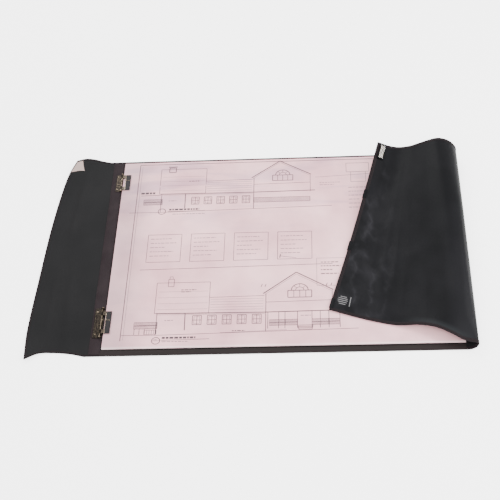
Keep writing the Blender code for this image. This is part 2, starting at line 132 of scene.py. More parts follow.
def arithmetic(material, operation, first, *others):
    """One operation over two or more sockets or numbers, from left to right."""
    for other in others:
        node = add_node(material, "Math", {}, operation=operation)
        for socket, value in zip(node.inputs, (first, other)):
            if isinstance(value, float):
                socket.default_value = value
            else:
                material.node_tree.links.new(value, socket)
        first = node.outputs["Value"]
    return first


def mix_base(material, factor, colour, blend="MIX"):
    """Blends the base colour so far with another colour, which is plain or a socket."""
    base = shader_of(material).inputs["Base Color"].links[0].from_socket
    colour = (*colour, 1) if isinstance(colour, tuple) else colour
    mix = add_node(
        material, "Mix", {"Factor": factor, "A": base, "B": colour}, data_type="RGBA", blend_type=blend
    )
    feed(material, "Base Color", mix.outputs["Result"])


def mottle(material, colours, scale, detail=3.0):
    """Lets the base colour wander between two colours in soft patches."""
    noise = add_node(material, "TexNoise", {"Vector": place_of(material), "Scale": scale, "Detail": detail})
    feed(material, "Base Color", ramp_of(material, noise.outputs["Fac"], list(zip((0.35, 0.65), colours))))
    return material


def woven(material, pitch_mm, height_mm):
    """A plain weave in relief, laid along the cloth."""
    where = cloth_map(material)
    threads = [
        add_node(
            material, "TexWave", {"Vector": where, "Scale": 31.4 / pitch_mm, "Distortion": 0.0},
            wave_type="BANDS", bands_direction=direction,
        ).outputs["Fac"]
        for direction in ("X", "Y")
    ]
    height = arithmetic(material, "MAXIMUM", *threads)
    bump = add_node(material, "Bump", {"Strength": 0.35, "Distance": height_mm / 1000, "Height": height})
    feed(material, "Normal", bump.outputs["Normal"])
    return material


def crinkled(material, scale, height_mm):
    """Adds fine crinkles in relief over the relief the material has."""
    noise = add_node(
        material, "TexNoise",
        {"Vector": place_of(material), "Scale": scale, "Detail": 4.0, "Distortion": 0.6},
        noise_type="RIDGED_MULTIFRACTAL",
    )
    relief = shader_of(material).inputs["Normal"].links[0].from_socket
    bump = add_node(
        material, "Bump",
        {"Strength": 1.0, "Distance": height_mm / 1000, "Height": noise.outputs["Fac"], "Normal": relief},
    )
    feed(material, "Normal", bump.outputs["Normal"])
    return material


def painted_light_along(material, axis, start, end, at_start):
    """Multiplies the base colour by a tint at one place along an axis, fading to nothing at another, both in metres;
    used for painted highlight and painted shade.
    """
    share = add_node(
        material, "MapRange",
        {"Value": axes_of(material, place_of(material))[axis], "From Min": start, "From Max": end},
        interpolation_type="SMOOTHSTEP",
    ).outputs["Result"]
    tint = add_node(
        material, "Mix", {"Factor": share, "A": (*at_start, 1), "B": (1.0, 1.0, 1.0, 1)}, data_type="RGBA"
    )
    mix_base(material, 1.0, tint.outputs["Result"], "MULTIPLY")


def painted_crease_shade(material, tint, scale, stretch, faint, strong):
    """Paints shade into long soft streaks that stand for creases, faint at one place along Y and strong at another, in
    metres.
    """
    where = place_of(material)
    mapping = add_node(material, "Mapping", {"Vector": where, "Scale": stretch})
    noise = add_node(
        material, "TexNoise",
        {"Vector": mapping.outputs["Vector"], "Scale": scale, "Detail": 4.0, "Distortion": 0.8},
    )
    amount = ramp_of(material, noise.outputs["Fac"], [(0.47, 0.0), (0.60, 1.0)])
    above_zero = 0.4  # a ramp takes no place below zero
    height = arithmetic(material, "ADD", axes_of(material, where)["Y"], above_zero)
    strength = ramp_of(material, height, [(faint + above_zero, 0.25), (strong + above_zero, 1.0)])
    mix_base(material, arithmetic(material, "MULTIPLY", amount, strength), tint, "MULTIPLY")


def painted_flap_sheen(material, colour, front_highlight_colour):
    """Paints sheen into the base colour: painted highlights along wandering creases near the free edge, a painted
    highlight band beside the fold, and a painted highlight on the turned-down front edge.
    """
    where = cloth_map(material)
    bend = add_node(material, "TexNoise", {"Vector": where, "Scale": 26.0, "Detail": 4.0})
    bent = add_node(
        material, "Mix", {"Factor": 0.045, "A": where, "B": bend.outputs["Color"]}, data_type="VECTOR"
    )
    stretch = add_node(material, "Mapping", {"Vector": bent.outputs["Result"], "Scale": (1.0, 0.30, 1.0)})
    cells = add_node(
        material, "TexVoronoi", {"Vector": stretch.outputs["Vector"], "Scale": 24.0}, feature="DISTANCE_TO_EDGE"
    )
    patches = add_node(material, "TexNoise", {"Vector": where, "Scale": 17.0, "Detail": 3.0})
    lines = ramp_of(material, cells.outputs["Distance"], [(0.0, 0.9), (0.06, 0.45), (0.20, 0.0)])
    some = ramp_of(material, patches.outputs["Fac"], [(0.40, 0.0), (0.62, 1.0)])
    axes = axes_of(material, where)
    wide = arithmetic(material, "MULTIPLY", axes["X"], 2.0)
    across = ramp_of(material, wide, [(0.0, 0.0), (0.52, 0.0), (0.66, 0.9), (1.0, 0.8)])
    # painted sheen: lighter streaks along the crinkles, with a broad painted sheen haze over them, towards the free
    # edge
    creases = arithmetic(material, "MULTIPLY", lines, some, across)
    sheen_haze = arithmetic(material, "MULTIPLY", some, 0.28, across)
    # painted highlight: a lighter band beside the fold, where the fold's curve catches the light
    beside = ramp_of(material, wide, [(0.0, 0.0), (0.08, 0.28), (0.13, 0.38), (0.20, 0.32), (0.27, 0.0)])
    near = ramp_of(material, axes["Y"], [(0.0, 1.0), (0.24, 0.9), (0.36, 0.15)])
    band = arithmetic(material, "MULTIPLY", beside, near)
    mix_base(material, arithmetic(material, "ADD", creases, sheen_haze, band), colour)
    # painted highlight: a lighter strip along the steep turned-down front edge
    rim = ramp_of(material, axes["Y"], [(0.0, 1.0), (0.012, 0.8), (0.024, 0.0)])
    front_highlight_part = ramp_of(material, wide, [(0.10, 0.0), (0.22, 1.0), (0.36, 0.8), (0.50, 0.0)])
    mix_base(material, arithmetic(material, "MULTIPLY", rim, front_highlight_part), front_highlight_colour)


def dark_cloth(name, low, high, roughness, specular, scale):
    material = new_material(name, low, roughness, Specular_IOR_Level=specular)
    return woven(mottle(material, (low, high), scale), 1.1, 0.12)


SHELL_COLOURS = (0.0042, 0.0043, 0.0050), (0.0066, 0.0066, 0.0076)
shell_cloth = crinkled(dark_cloth("shell_cloth", *SHELL_COLOURS, 0.45, 0.055, 9.0), 11.0, 1.1)
flap_cloth = crinkled(dark_cloth("flap_cloth", *SHELL_COLOURS, 0.45, 0.055, 9.0), 11.0, 1.6)
# painted sheen and painted highlights in the flap cloth's colour
painted_flap_sheen(flap_cloth, (0.0165, 0.0160, 0.0185), (0.0155, 0.0170, 0.0185))
lining_cloth = dark_cloth("lining_cloth", (0.0072, 0.0072, 0.0077), (0.0096, 0.0094, 0.0099), 0.6, 0.08, 7.0)
edge_tape = new_material("edge_tape", (0.0112, 0.0082, 0.0092), 0.55, Specular_IOR_Level=0.06)
margin_tape = new_material("margin_tape", (0.0185, 0.0147, 0.0145), 0.55, Specular_IOR_Level=0.06)
spine_cloth = mottle(
    new_material("spine_cloth", (0.016, 0.012, 0.013), 0.55, Specular_IOR_Level=0.06),
    ((0.0150, 0.0105, 0.0120), (0.0200, 0.0142, 0.0160)), 20.0,
)
thread = new_material("thread", (0.022, 0.016, 0.018), 0.6, Specular_IOR_Level=0.1)
clip_steel = mottle(
    new_material("clip_steel", (0.45, 0.34, 0.24), 0.25, 1.0), ((0.07, 0.055, 0.04), (0.34, 0.27, 0.20)), 90.0
)
clip_bronze = mottle(
    new_material("clip_bronze", (0.06, 0.05, 0.04), 0.33, 1.0), ((0.007, 0.006, 0.006), (0.030, 0.024, 0.018)), 220.0
)
clip_ribs = mottle(
    new_material("clip_ribs", (0.12, 0.10, 0.07), 0.3, 1.0), ((0.009, 0.008, 0.008), (0.060, 0.048, 0.036)), 260.0
)
clip_dark = new_material("clip_dark", (0.017, 0.0155, 0.0165), 0.4, Specular_IOR_Level=0.08)
pad_rubber = new_material("pad_rubber", (0.02, 0.02, 0.02), 0.8)
drawing_paper = mottle(
    new_material("drawing_paper", (0.78, 0.56, 0.58), 0.6, Specular_IOR_Level=0.25),
    ((0.70, 0.38, 0.41), (0.94, 0.56, 0.58)), 6.0, 5.0,
)
# painted shade: soft darker streaks standing for creases, strongest towards the back of the top sheet
painted_crease_shade(drawing_paper, (0.78, 0.81, 0.88), 5.0, (0.6, 3.6, 1.0), 0.05, 0.20)
# painted highlight: the curled front edge of the top sheet lightened
painted_light_along(drawing_paper, "Y", -0.3006, -0.2925, (1.17, 1.50, 1.42))
# painted shade: the left margin of the top sheet darkened, by the clips
painted_light_along(drawing_paper, "X", -0.35, -0.25, (0.64, 0.68, 0.69))
lower_paper = new_material("lower_paper", (0.74, 0.56, 0.57), 0.6)
ink = new_material("ink", (0.045, 0.022, 0.030), 0.6)
faint_ink = new_material("faint_ink", (0.17, 0.10, 0.115), 0.6)
label_card = new_material("label_card", (0.24, 0.195, 0.155), 0.6)
patch_card = new_material("patch_card", (0.34, 0.25, 0.225), 0.6)
clear_window = new_material("clear_window", (1, 1, 1), 0.05, 0.0, Transmission_Weight=1.0, IOR=1.3)
print_white = new_material("print_white", (0.12, 0.117, 0.12), 0.5)


# ---- shapes
def place(points):
    """Millimetres from the drawings' corner to the frame's metres."""
    points = np.asarray(points, float)
    return (points - np.array([CENTRE_X, CENTRE_Y, 0.0])) / 1000


def add_mesh(name, points, faces, material, crease=35.0, uv=None):
    mesh = bpy.data.meshes.new(name)
    mesh.from_pydata(place(points).tolist(), [], faces)
    if uv is not None:
        layer = mesh.uv_layers.new(name="cloth")
        corners = np.empty(len(mesh.loops), int)
        mesh.loops.foreach_get("vertex_index", corners)
        layer.data.foreach_set("uv", np.asarray(uv, float)[corners].ravel())
    body = bmesh.new()
    body.from_mesh(mesh)
    bmesh.ops.recalc_face_normals(body, faces=body.faces)
    body.to_mesh(mesh)
    body.free()
    mesh.shade_smooth()
    mesh.set_sharp_from_angle(angle=math.radians(crease))
    mesh.materials.append(material)
    thing = bpy.data.objects.new(name, mesh)
    bpy.context.scene.collection.objects.link(thing)
    return thing


def through(points, t, level_start=False):
    """Smooth curves through rows of points: points is (rows, count, 3), t a flat array from 0 to 1."""
    last = points.shape[1] - 1
    before = 2 * points[:, 0] - points[:, 1]
    if level_start:
        before[:, 2] = points[:, 1, 2]
    padded = np.concatenate([before[:, None], points, (2 * points[:, -1] - points[:, -2])[:, None]], axis=1)
    kept = np.clip(t, 0, 1)
    at = kept * last
    i = np.minimum(at.astype(int), last - 1)
    f = (at - i)[None, :, None]
    a, b, c, d = (padded[:, i + k] for k in range(4))
    value = 0.5 * (2 * b + (c - a) * f + (2 * a - 5 * b + 4 * c - d) * f ** 2 + (3 * b - a - 3 * c + d) * f ** 3)
    end = np.where(t < 0, 0, last)
    slope = (padded[:, end + 2] - padded[:, end]) / 2 * last
    return value + slope * (t - kept)[None, :, None]


def by_rows(rows, marks, level_start=False):
    """The same smooth surface as the CAD model's, for flat arrays of u and v."""
    rows = np.asarray(rows, float)
    marks = np.asarray(marks, float)

    def surface(u, v):
        u, v = np.broadcast_arrays(np.asarray(u, float), np.asarray(v, float))
        across = through(rows, u, level_start)
        count = len(marks)
        k = np.clip(np.searchsorted(marks, np.clip(v, 0, 1), side="right") - 1, 0, count - 2)
        each = np.arange(len(u))
        b, c = across[k, each], across[k + 1, each]
        a = np.where((k > 0)[:, None], across[np.maximum(k - 1, 0), each], 2 * b - c)
        d = np.where((k + 2 < count)[:, None], across[np.minimum(k + 2, count - 1), each], 2 * c - b)
        step = marks[k + 1] - marks[k]
        before = np.where(k > 0, marks[k] - marks[np.maximum(k - 1, 0)], step)
        after = np.where(k + 2 < count, marks[np.minimum(k + 2, count - 1)] - marks[k + 1], step)
        slope_b = (c - a) / (before + step)[:, None] * step[:, None]
        slope_c = (d - b) / (step + after)[:, None] * step[:, None]
        f = ((v - marks[k]) / step)[:, None]
        inner = (
            (2 * f ** 3 - 3 * f ** 2 + 1) * b + (f ** 3 - 2 * f ** 2 + f) * slope_b
            + (3 * f ** 2 - 2 * f ** 3) * c + (f ** 3 - f ** 2) * slope_c
        )
        return np.where(f < 0, b + slope_b * f, np.where(f > 1, c + slope_c * (f - 1), inner))

    return surface


def normals_of(surface, u, v, side):
    """Unit normals that point from the case's outside to its inside."""
    e = 2e-4
    along = surface(u + e, v) - surface(u - e, v)
    back = surface(u, v + e) - surface(u, v - e)
    normal = side * np.cross(along, back)
    return normal / np.linalg.norm(normal, axis=1)[:, None]


class Cloth:
    """A cloth's outer face: a smooth surface, with creases pressed into it along its normal."""

    def __init__(self, surface, side, creases=None, least_z=None):
        self.plain, self.side, self.creases, self.least_z = surface, side, creases, least_z

    def __call__(self, u, v):
        u, v = np.broadcast_arrays(np.asarray(u, float), np.asarray(v, float))
        points = self.plain(u, v)
        if self.creases is not None:
            points = points - normals_of(self.plain, u, v, self.side) * self.creases(u, v)[:, None]
        if self.least_z is not None:
            points[:, 2] = np.maximum(points[:, 2], self.least_z)
        return points

    def inward(self, u, v):
        return normals_of(self, np.asarray(u, float), np.asarray(v, float), self.side)


def layer_faces(columns, rows):
    """Faces of a closed layer: a grid of points, then the same grid on the other side."""
    one = columns * rows
    i, j = (a.ravel() for a in np.meshgrid(np.arange(columns - 1), np.arange(rows - 1)))
    a = j * columns + i
    quads = np.stack([a, a + 1, a + columns + 1, a + columns], axis=1)
    faces = quads.tolist() + (quads[:, ::-1] + one).tolist()
    for k in range(columns - 1):
        for start in (k, (rows - 1) * columns + k):
            faces.append([start, start + 1, start + 1 + one, start + one])
    for k in range(rows - 1):
        for start in (k * columns, k * columns + columns - 1):
            faces.append([start, start + columns, start + columns + one, start + one])
    return faces


def slab(name, cloth, us, vs, near, far, material):
    """A layer of cloth between two depths below its outer face, as one closed mesh."""
    us, vs = np.asarray(us, float), np.asarray(vs, float)
    u, v = (a.ravel() for a in np.meshgrid(us, vs))
    outer, inward = cloth(u, v), cloth.inward(u, v)
    grid = outer.reshape(len(vs), len(us), 3)
    across = np.zeros(grid.shape[:2])
    across[:, 1:] = np.cumsum(np.linalg.norm(np.diff(grid, axis=1), axis=2), axis=1)
    down = np.zeros(grid.shape[:2])
    down[1:] = np.cumsum(np.linalg.norm(np.diff(grid, axis=0), axis=2), axis=0)
    uv = np.stack([across.ravel(), down.ravel()], axis=1) / 1000
    points = np.concatenate([outer + near * inward, outer + far * inward])
    faces = layer_faces(len(us), len(vs))
    return add_mesh(name, points, faces, material, 50.0, np.concatenate([uv, uv]))


def sweep(name, centres, sideways, upward, profile, material, crease=50.0):
    """Runs a closed profile of (sideways, upward) offsets along a row of points."""
    count = len(profile)
    rings = [centres + a * sideways + b * upward for a, b in profile]
    points = np.stack(rings, axis=1).reshape(-1, 3)
    faces = []
    for i in range(len(centres) - 1):
        for k in range(count):
            n = (k + 1) % count
            faces.append([i * count + k, i * count + n, (i + 1) * count + n, (i + 1) * count + k])
    faces += [list(range(count)), list(range((len(centres) - 1) * count, len(centres) * count))]
    return add_mesh(name, points, faces, material, crease)


def edge_line(cloth, u, v, away):
    """Points on a cloth's edge, the way out of the cloth there, and the way from outside to inside."""
    points, inward = cloth(u, v), cloth.inward(u, v)
    e = 1e-3
    out = cloth(u + away[0] * e, v + away[1] * e) - points
    out = out - (out * inward).sum(1)[:, None] * inward
    return points, out / np.linalg.norm(out, axis=1)[:, None], inward


def binding(name, cloth, u, v, away, material, width, outer, proud):
    """A tape folded over a cloth's edge, with a leg on the inside and, where it shows, one on the outside."""
    points, out, inward = edge_line(cloth, u, v, away)
    top, bottom = CLOTH + proud, -0.45 if outer else 0.12
    profile = []
    if outer:
        profile += [(-width, 0.0), (-width, -0.3), (-width + 0.5, -0.45), (0.3, -0.45)]
    else:
        profile += [(-0.2, 0.12), (0.5, 0.12)]
    profile += [
        (1.1, bottom + 0.5), (1.4, CLOTH / 2), (1.1, top - 0.5), (0.3, top), (-width + 0.5, top),
        (-width, top - 0.15), (-width, CLOTH), (-0.3, CLOTH), (-0.3, 0.0),
    ]
    return sweep(name, points, out, inward, profile, material)


STITCH_PITCH, STITCH_LENGTH, STITCH_WIDTH = 3.6, 2.3, 0.42


def stitches(name, centres, upward):
    """A run of separate stitches along a line, as one mesh of small lozenges."""
    steps = np.linalg.norm(np.diff(centres, axis=0), axis=1)
    travelled = np.concatenate([[0], np.cumsum(steps)])
    where = np.arange(STITCH_PITCH / 2, travelled[-1], STITCH_PITCH)
    mid = np.stack([np.interp(where, travelled, centres[:, k]) for k in range(3)], axis=1)
    lift = np.stack([np.interp(where, travelled, upward[:, k]) for k in range(3)], axis=1)
    ahead = np.stack([np.interp(where + 1, travelled, centres[:, k]) for k in range(3)], axis=1) - mid
    ahead = ahead / np.maximum(np.linalg.norm(ahead, axis=1), 1e-6)[:, None]
    side = np.cross(ahead, lift)
    points, faces = [], []
    for m, a, s, n in zip(mid, ahead, side, lift):
        start = len(points)
        for end in (-0.5, -0.32, 0.32, 0.5):
            wide = STITCH_WIDTH if abs(end) < 0.4 else STITCH_WIDTH * 0.35
            for turn in (0, 2, 4):
                angle = math.pi * turn / 3
                offset = math.cos(angle) * n * wide * 0.8 + math.sin(angle) * s * wide
                points.append(m + a * end * STITCH_LENGTH + offset)
        for ring in range(3):
            for k in range(3):
                b = start + ring * 3
                faces.append([b + k, b + (k + 1) % 3, b + 3 + (k + 1) % 3, b + 3 + k])
        faces += [[start, start + 1, start + 2], [start + 9, start + 10, start + 11]]
    return add_mesh(name, np.array(points), faces, thread, 80.0)


# ---- the two flaps' surfaces
LIP_FRONT = [(915, -18, 0), (930, -18, 3.5), (940, -17, 12), (943.5, -15, 24.5)]
LIP_BACK = [(915, 617, 0), (932, 612, 8), (941.5, 604, 26), (943.5, 592, 48.3)]
FLAP_MARKS = (0.0, 0.09, 1 / 3, 2 / 3, 1.0)
FLAP_ROWS = [
    [(943.5, -15, 24.5), (939, -13, 28), (927, -11, 28.5), (908, -6, 29), (881, 7, 36.5), (843, 27, 37),
     (800, 43, 24), (745, 51, 10.5), (690, 64, 9.5), (635, 81, 9.5), (579, 100, 10.5)],
    [(943.5, 41, 26.7), (939.3, 44, 38), (927, 47, 46), (908.5, 52, 49.5), (881.5, 62, 46.6), (845.5, 78, 36),
     (803, 93, 22), (751, 104, 13), (698, 118, 10.5), (645.5, 133, 10.3), (592, 148, 10.9)],
    [(943.5, 194, 32.7), (940, 196, 46), (929, 199, 56.5), (912, 202, 61.5), (886, 208, 59), (852, 219, 46),
     (812, 229, 30), (766, 238, 18), (720, 248, 12.5), (674, 258, 11), (628, 269, 12)],
    [(943.5, 403, 40.8), (940.5, 403, 56), (930, 404, 67), (912, 406, 74), (888, 409, 75), (858, 413, 66),
     (824, 419, 51), (786, 425, 37), (750, 431, 29), (714, 436, 26.5), (678, 441, 29)],
    [(943.5, 592, 48.3), (939, 595, 59), (927, 600, 71), (909, 603, 80), (888, 604, 83), (866, 603, 77),
     (840, 602, 66), (815, 602, 54.5), (785, 603, 49.5), (755, 604, 57), (727, 606, 70)],
]
LEFT_ROWS = [
    (0.0, [(-43.4, -18, 0), (-80, -10, 0), (-120, -6, 0.5), (-160, -8, 3), (-193, -27, 9)]),
    (0.12, [(-43.4, 58, 0), (-80, 60, 0), (-120, 62, 0), (-160, 62, 0.5), (-199.5, 60, 2)]),
    (0.35, [(-43.4, 204, 0), (-80, 206, 0), (-120, 208, 0), (-160, 210, 0), (-194, 210, 0.5)]),
    (0.6, [(-43.4, 363, 0), (-80, 365, 0), (-120, 367, 0), (-152, 369, 0), (-186, 370, 0.5)]),
    (0.82, [(-43.4, 503, 0), (-76, 505, 0), (-110, 507, 0), (-142, 509, 1), (-173, 500, 3)]),
    (0.93, [(-43.4, 573, 0), (-72, 577, 0.5), (-101, 580, 2), (-130, 582, 4.5), (-159, 573, 8)]),
    (1.0, [(-43.4, 617, 0), (-68, 622, 2), (-92, 627, 6), (-117, 628, 9), (-141, 619, 12)]),
]
fold_rows = []
for share, flap_row in zip(FLAP_MARKS, FLAP_ROWS):
    lip_row = np.asarray(LIP_FRONT, float) * (1 - share) + np.asarray(LIP_BACK, float) * share
    fold_rows.append([*lip_row[:-1], *np.asarray(flap_row, float)])
LIP_SHARE = (len(LIP_FRONT) - 1) / (len(fold_rows[0]) - 1)


def flap_u(share):
    """From a share of the right flap's own width to the whole fold's u."""
    return LIP_SHARE + np.asarray(share, float) * (1 - LIP_SHARE)


def ridge(u, v, u0, u1, v0, v1, width, height):
    """A soft crease that runs from (u0, v0) to (u1, v1) on the cloth."""
    along = np.clip((v - v0) / (v1 - v0), 0, 1)
    middle = u0 + (u1 - u0) * along
    fade = np.clip(1 - np.abs((v - (v0 + v1) / 2) / ((v1 - v0) / 2)) ** 3, 0, 1)
    return height * fade * np.exp(-(((u - middle) / width) ** 2))


FLAP_RIDGES = [
    (0.935, 0.905, 0.00, 0.62, 0.014, 1.0), (0.86, 0.84, 0.05, 0.50, 0.012, 0.9), (0.80, 0.765, 0.10, 0.66, 0.014, 1.1),
    (0.735, 0.70, 0.16, 0.72, 0.013, 1.3), (0.69, 0.665, 0.02, 0.34, 0.012, 1.0), (0.62, 0.64, 0.30, 0.70, 0.018, 1.2),
    (0.89, 0.87, 0.55, 0.95, 0.014, 0.9), (0.76, 0.74, 0.60, 0.92, 0.016, 1.0), (0.78, 0.79, 0.00, 0.22, 0.010, 0.8),
    (0.57, 0.55, 0.00, 0.28, 0.022, -1.0), (0.17, 0.21, 0.05, 0.62, 0.03, 1.2), (0.30, 0.27, 0.30, 0.80, 0.04, -0.9),
]
WAVES = [
    (rng.uniform(8, 34), rng.uniform(6, 30), rng.uniform(0, 6.28), rng.uniform(0.04, 0.13)) for _ in range(14)
]


def small_waves(u, v):
    total = np.zeros(len(u))
    for a, b, start, height in WAVES:
        total += height * np.sin(a * u + b * v * way_of(b) + start)
    return total


def way_of(value):
    """One way or the other, settled by the first decimal."""
    return 1.0 if int(value * 10) % 2 else -1.0


def flap_creases(u, v):
    share = (u - LIP_SHARE) / (1 - LIP_SHARE)
    rise = np.clip(share / 0.12, 0, 1)
    total = small_waves(u, v) * 0.8
    for one in FLAP_RIDGES:
        total = total + 0.55 * ridge(share, v, *one)
    return total * rise * rise


def left_creases(u, v):
    away = np.clip(u / 0.25, 0, 1)
    total = 0.5 * (small_waves(u * 0.6, v) + 0.5)
    total = total + ridge(u, v, 0.35, 0.42, 0.0, 0.5, 0.08, -2.0) + ridge(u, v, 0.7, 0.66, 0.1, 0.4, 0.05, -1.6)
    total = total + ridge(u, v, 0.55, 0.5, 0.55, 0.95, 0.07, -2.0)
    return np.minimum(total, 0.4) * away


right = Cloth(by_rows(fold_rows, FLAP_MARKS, True), 1.0, flap_creases, 0.0)
left = Cloth(by_rows([row for _, row in LEFT_ROWS], [mark for mark, _ in LEFT_ROWS]), -1.0, left_creases, 0.0)


def mat_plain(u, v):
    """u is x and v is y, both as shares of the flat mat."""
    u, v = np.broadcast_arrays(np.asarray(u, float), np.asarray(v, float))
    x = MAT_LEFT + (FLAT_END - MAT_LEFT) * u
    y = MAT_FRONT + (MAT_BACK - MAT_FRONT) * v
    return np.stack([x, y, np.zeros(len(x))], axis=1)


mat = Cloth(mat_plain, 1.0)


def mat_u(x):
    return (x - MAT_LEFT) / (FLAT_END - MAT_LEFT)


def left_with_mat(u, v):
    """The left flap joined to the first strip of mat: u below 0 runs on over the mat."""
    u, v = np.broadcast_arrays(np.asarray(u, float), np.asarray(v, float))
    flap = left(np.maximum(u, 0.0), v)
    strip = np.stack([
        LEFT_FOLD_X + (SEAM_X - LEFT_FOLD_X) * np.minimum(-u, 1.0),
        MAT_FRONT + (MAT_BACK - MAT_FRONT) * v,
        np.zeros(len(u)),
    ], axis=1)
    return np.where((u < 0)[:, None], strip, flap)


left_joined = Cloth(left_with_mat, -1.0)


def bend_right(thing):
    """Bakes a piece's transform into its mesh."""
    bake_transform(thing)


def bend_left(thing):
    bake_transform(thing)


def ride_on(body, *things):
    for thing in things:
        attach(thing, body)


# ---- cloth pieces
LAYERS = {
    "left": (left_joined, np.concatenate([np.linspace(-1, 0, 9), np.linspace(0, 1, 34)[1:]]), 96, shell_cloth),
    "mat": (mat, np.linspace(mat_u(SEAM_X), 1, 12), 9, shell_cloth),
    "right": (right, np.linspace(0, 1, 150), 110, flap_cloth),
}
shells, linings = {}, {}
for side, (cloth, us, rows, outside) in LAYERS.items():
    vs = np.linspace(0, 1, rows)
    node = "mat" if side == "mat" else f"{side}_flap"
    shells[side] = slab(f"{side}_shell_cloth", cloth, us, vs, 0.0, SHELL, outside)
    linings[side] = slab(f"{side}_lining_cloth", cloth, us, vs, SHELL, CLOTH, lining_cloth)
    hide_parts(f"{node}_shell")
    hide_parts(f"{node}_lining")


# ---- tapes over the edges, and their stitches
def front(cloth, us):
    return cloth, us, np.zeros(len(us)), (0, -1)


def back(cloth, us):
    return cloth, us, np.ones(len(us)), (0, 1)


def free(cloth):
    return cloth, np.ones(100), np.linspace(0, 1, 100), (1, 0)


def seam(name, cloth, u, v, away, inset, depth, proud):
    """Stitches set in from an edge: depth 0 is the outer face and CLOTH the inner one."""
    points, out, inward = edge_line(cloth, u, v, away)
    lift = -1.0 if depth < CLOTH / 2 else 1.0
    line = points - out * inset + inward * (depth + lift * proud)
    return stitches(name, line, inward * lift)


flat_us = np.linspace(mat_u(SEAM_X), 1, 40)
fold_us = np.linspace(0, 1, 130)
left_us = np.concatenate([np.linspace(-1, 0, 8), np.linspace(0, 1, 40)[1:]])
EDGES = {
    # edge, CAD node, material, tape's width, does it show outside, its thickness, stitches' inset and thickness
    "mat_front": (front(mat, flat_us), "mat_front_tape", margin_tape, 16.0, False, 0.3, 14.0, 0.25),
    "mat_back": (back(mat, flat_us), "mat_back_tape", margin_tape, 6.0, False, 0.3, 5.0, 0.25),
    "right_front": (front(right, fold_us), "right_flap_front_tape", edge_tape, 7.0, True, 0.45, 5.0, 0.5),
    "right_back": (back(right, fold_us), "right_flap_back_tape", edge_tape, 7.0, True, 0.45, 5.0, 0.5),
    "free_edge": (free(right), "free_edge_hem", edge_tape, 9.0, True, 0.45, 7.0, 0.5),
    "left_front": (front(left_joined, left_us), "left_flap_front_tape", edge_tape, 5.0, False, 0.45, 3.4, 0.5),
    "left_back": (back(left_joined, left_us), "left_flap_back_tape", edge_tape, 5.0, False, 0.45, 3.4, 0.5),
    "left_free": (free(left), "left_flap_free_tape", edge_tape, 5.0, False, 0.45, 3.4, 0.5),
}
tapes, seams = {}, {}
for name, (edge, node, material, width, outer, proud, _, _) in EDGES.items():
    tapes[name] = binding(f"{name}_binding", *edge, material, width, outer, proud)
    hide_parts(node)
for name, (edge, _, _, _, outer, _, inset, proud) in EDGES.items():
    sides = {"": 0.0, "_inner": CLOTH} if outer else {"": CLOTH}
    seams[name] = [seam(f"{name}{side}_stitches", *edge, inset, depth, proud) for side, depth in sides.items()]

for side, bend in (("right", bend_right), ("left", bend_left)):
    ends = (f"{side}_front", f"{side}_back")
    for piece in (shells[side], linings[side], *(tapes[end] for end in ends), *(p for end in ends for p in seams[end])):
        bend(piece)
ride_on("case", shells["mat"], linings["mat"])
for name, body in (
    ("mat_front", "case"), ("mat_back", "case"), ("free_edge", "right_flap"), ("left_free", "left_flap")
):
    ride_on(body, tapes[name], *seams[name])

# ---- spine strip
spine_ys = np.linspace(MAT_FRONT + 4, MAT_BACK - 4, 60)
spine_line = np.stack([np.full(60, -18.0), spine_ys, np.full(60, CLOTH)], axis=1)
sideways = np.tile([1.0, 0.0, 0.0], (60, 1))
upward = np.tile([0.0, 0.0, 1.0], (60, 1))
spine = sweep(
    "spine_band", spine_line, sideways, upward,
    [(-15, 0.0), (-15, 0.7), (-14.3, 1.0), (14.3, 1.0), (15, 0.7), (15, 0.0)], spine_cloth,
)
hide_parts("spine_strip")
spine_seams = [
    stitches(f"spine_stitches_{k}", spine_line + np.array([x, 0, 1.15]), upward) for k, x in ((1, -13.0), (2, 13.0))
]
ride_on("case", spine, *spine_seams)

# ---- drawings
DENTS = [
    # x, y, half-length, half-width, turn in degrees, height
    (205, 519, 150, 7, -2, 2.2), (190, 502, 150, 7, -1, -1.2), (118, 508, 46, 6, 8, -1.2), (60, 548, 26, 8, 52, 1.8),
    (78, 515, 30, 7, 14, 1.7), (330, 560, 60, 26, 25, 1.2), (500, 240, 160, 60, 20, 0.9), (330, 330, 200, 70, -12, 0.8),
    (46, 100, 16, 60, 0, -0.7), (90, 60, 60, 40, 30, 0.8), (650, 60, 200, 26, 2, 0.9), (420, 470, 110, 18, -6, 0.7),
]


def paper_z(x, y):
    """Height of the top sheet: flat under the clips, softly dented elsewhere, its front edge curling up a little."""
    x, y = np.asarray(x, float), np.asarray(y, float)
    total = np.zeros(np.broadcast(x, y).shape)
    for cx, cy, a, b, turn, height in DENTS:
        c, s = math.cos(math.radians(turn)), math.sin(math.radians(turn))
        p = (x - cx) * c + (y - cy) * s
        q = -(x - cx) * s + (y - cy) * c
        total = total + height * np.exp(-((p / a) ** 2) - (q / b) ** 2)
    held = np.clip((x - 20) / 30, 0, 1)
    held = held * held * (3 - 2 * held)
    total = np.clip(total + 0.3, 0, np.where(x < 560, 2.6, 1.6)) * held
    curl = np.clip(1 - y / 16, 0, 1) ** 2 * (0.5 + 1.0 * np.clip(x / 500, 0, 1))
    return SHEETS_TOP - 0.15 + total + curl * held


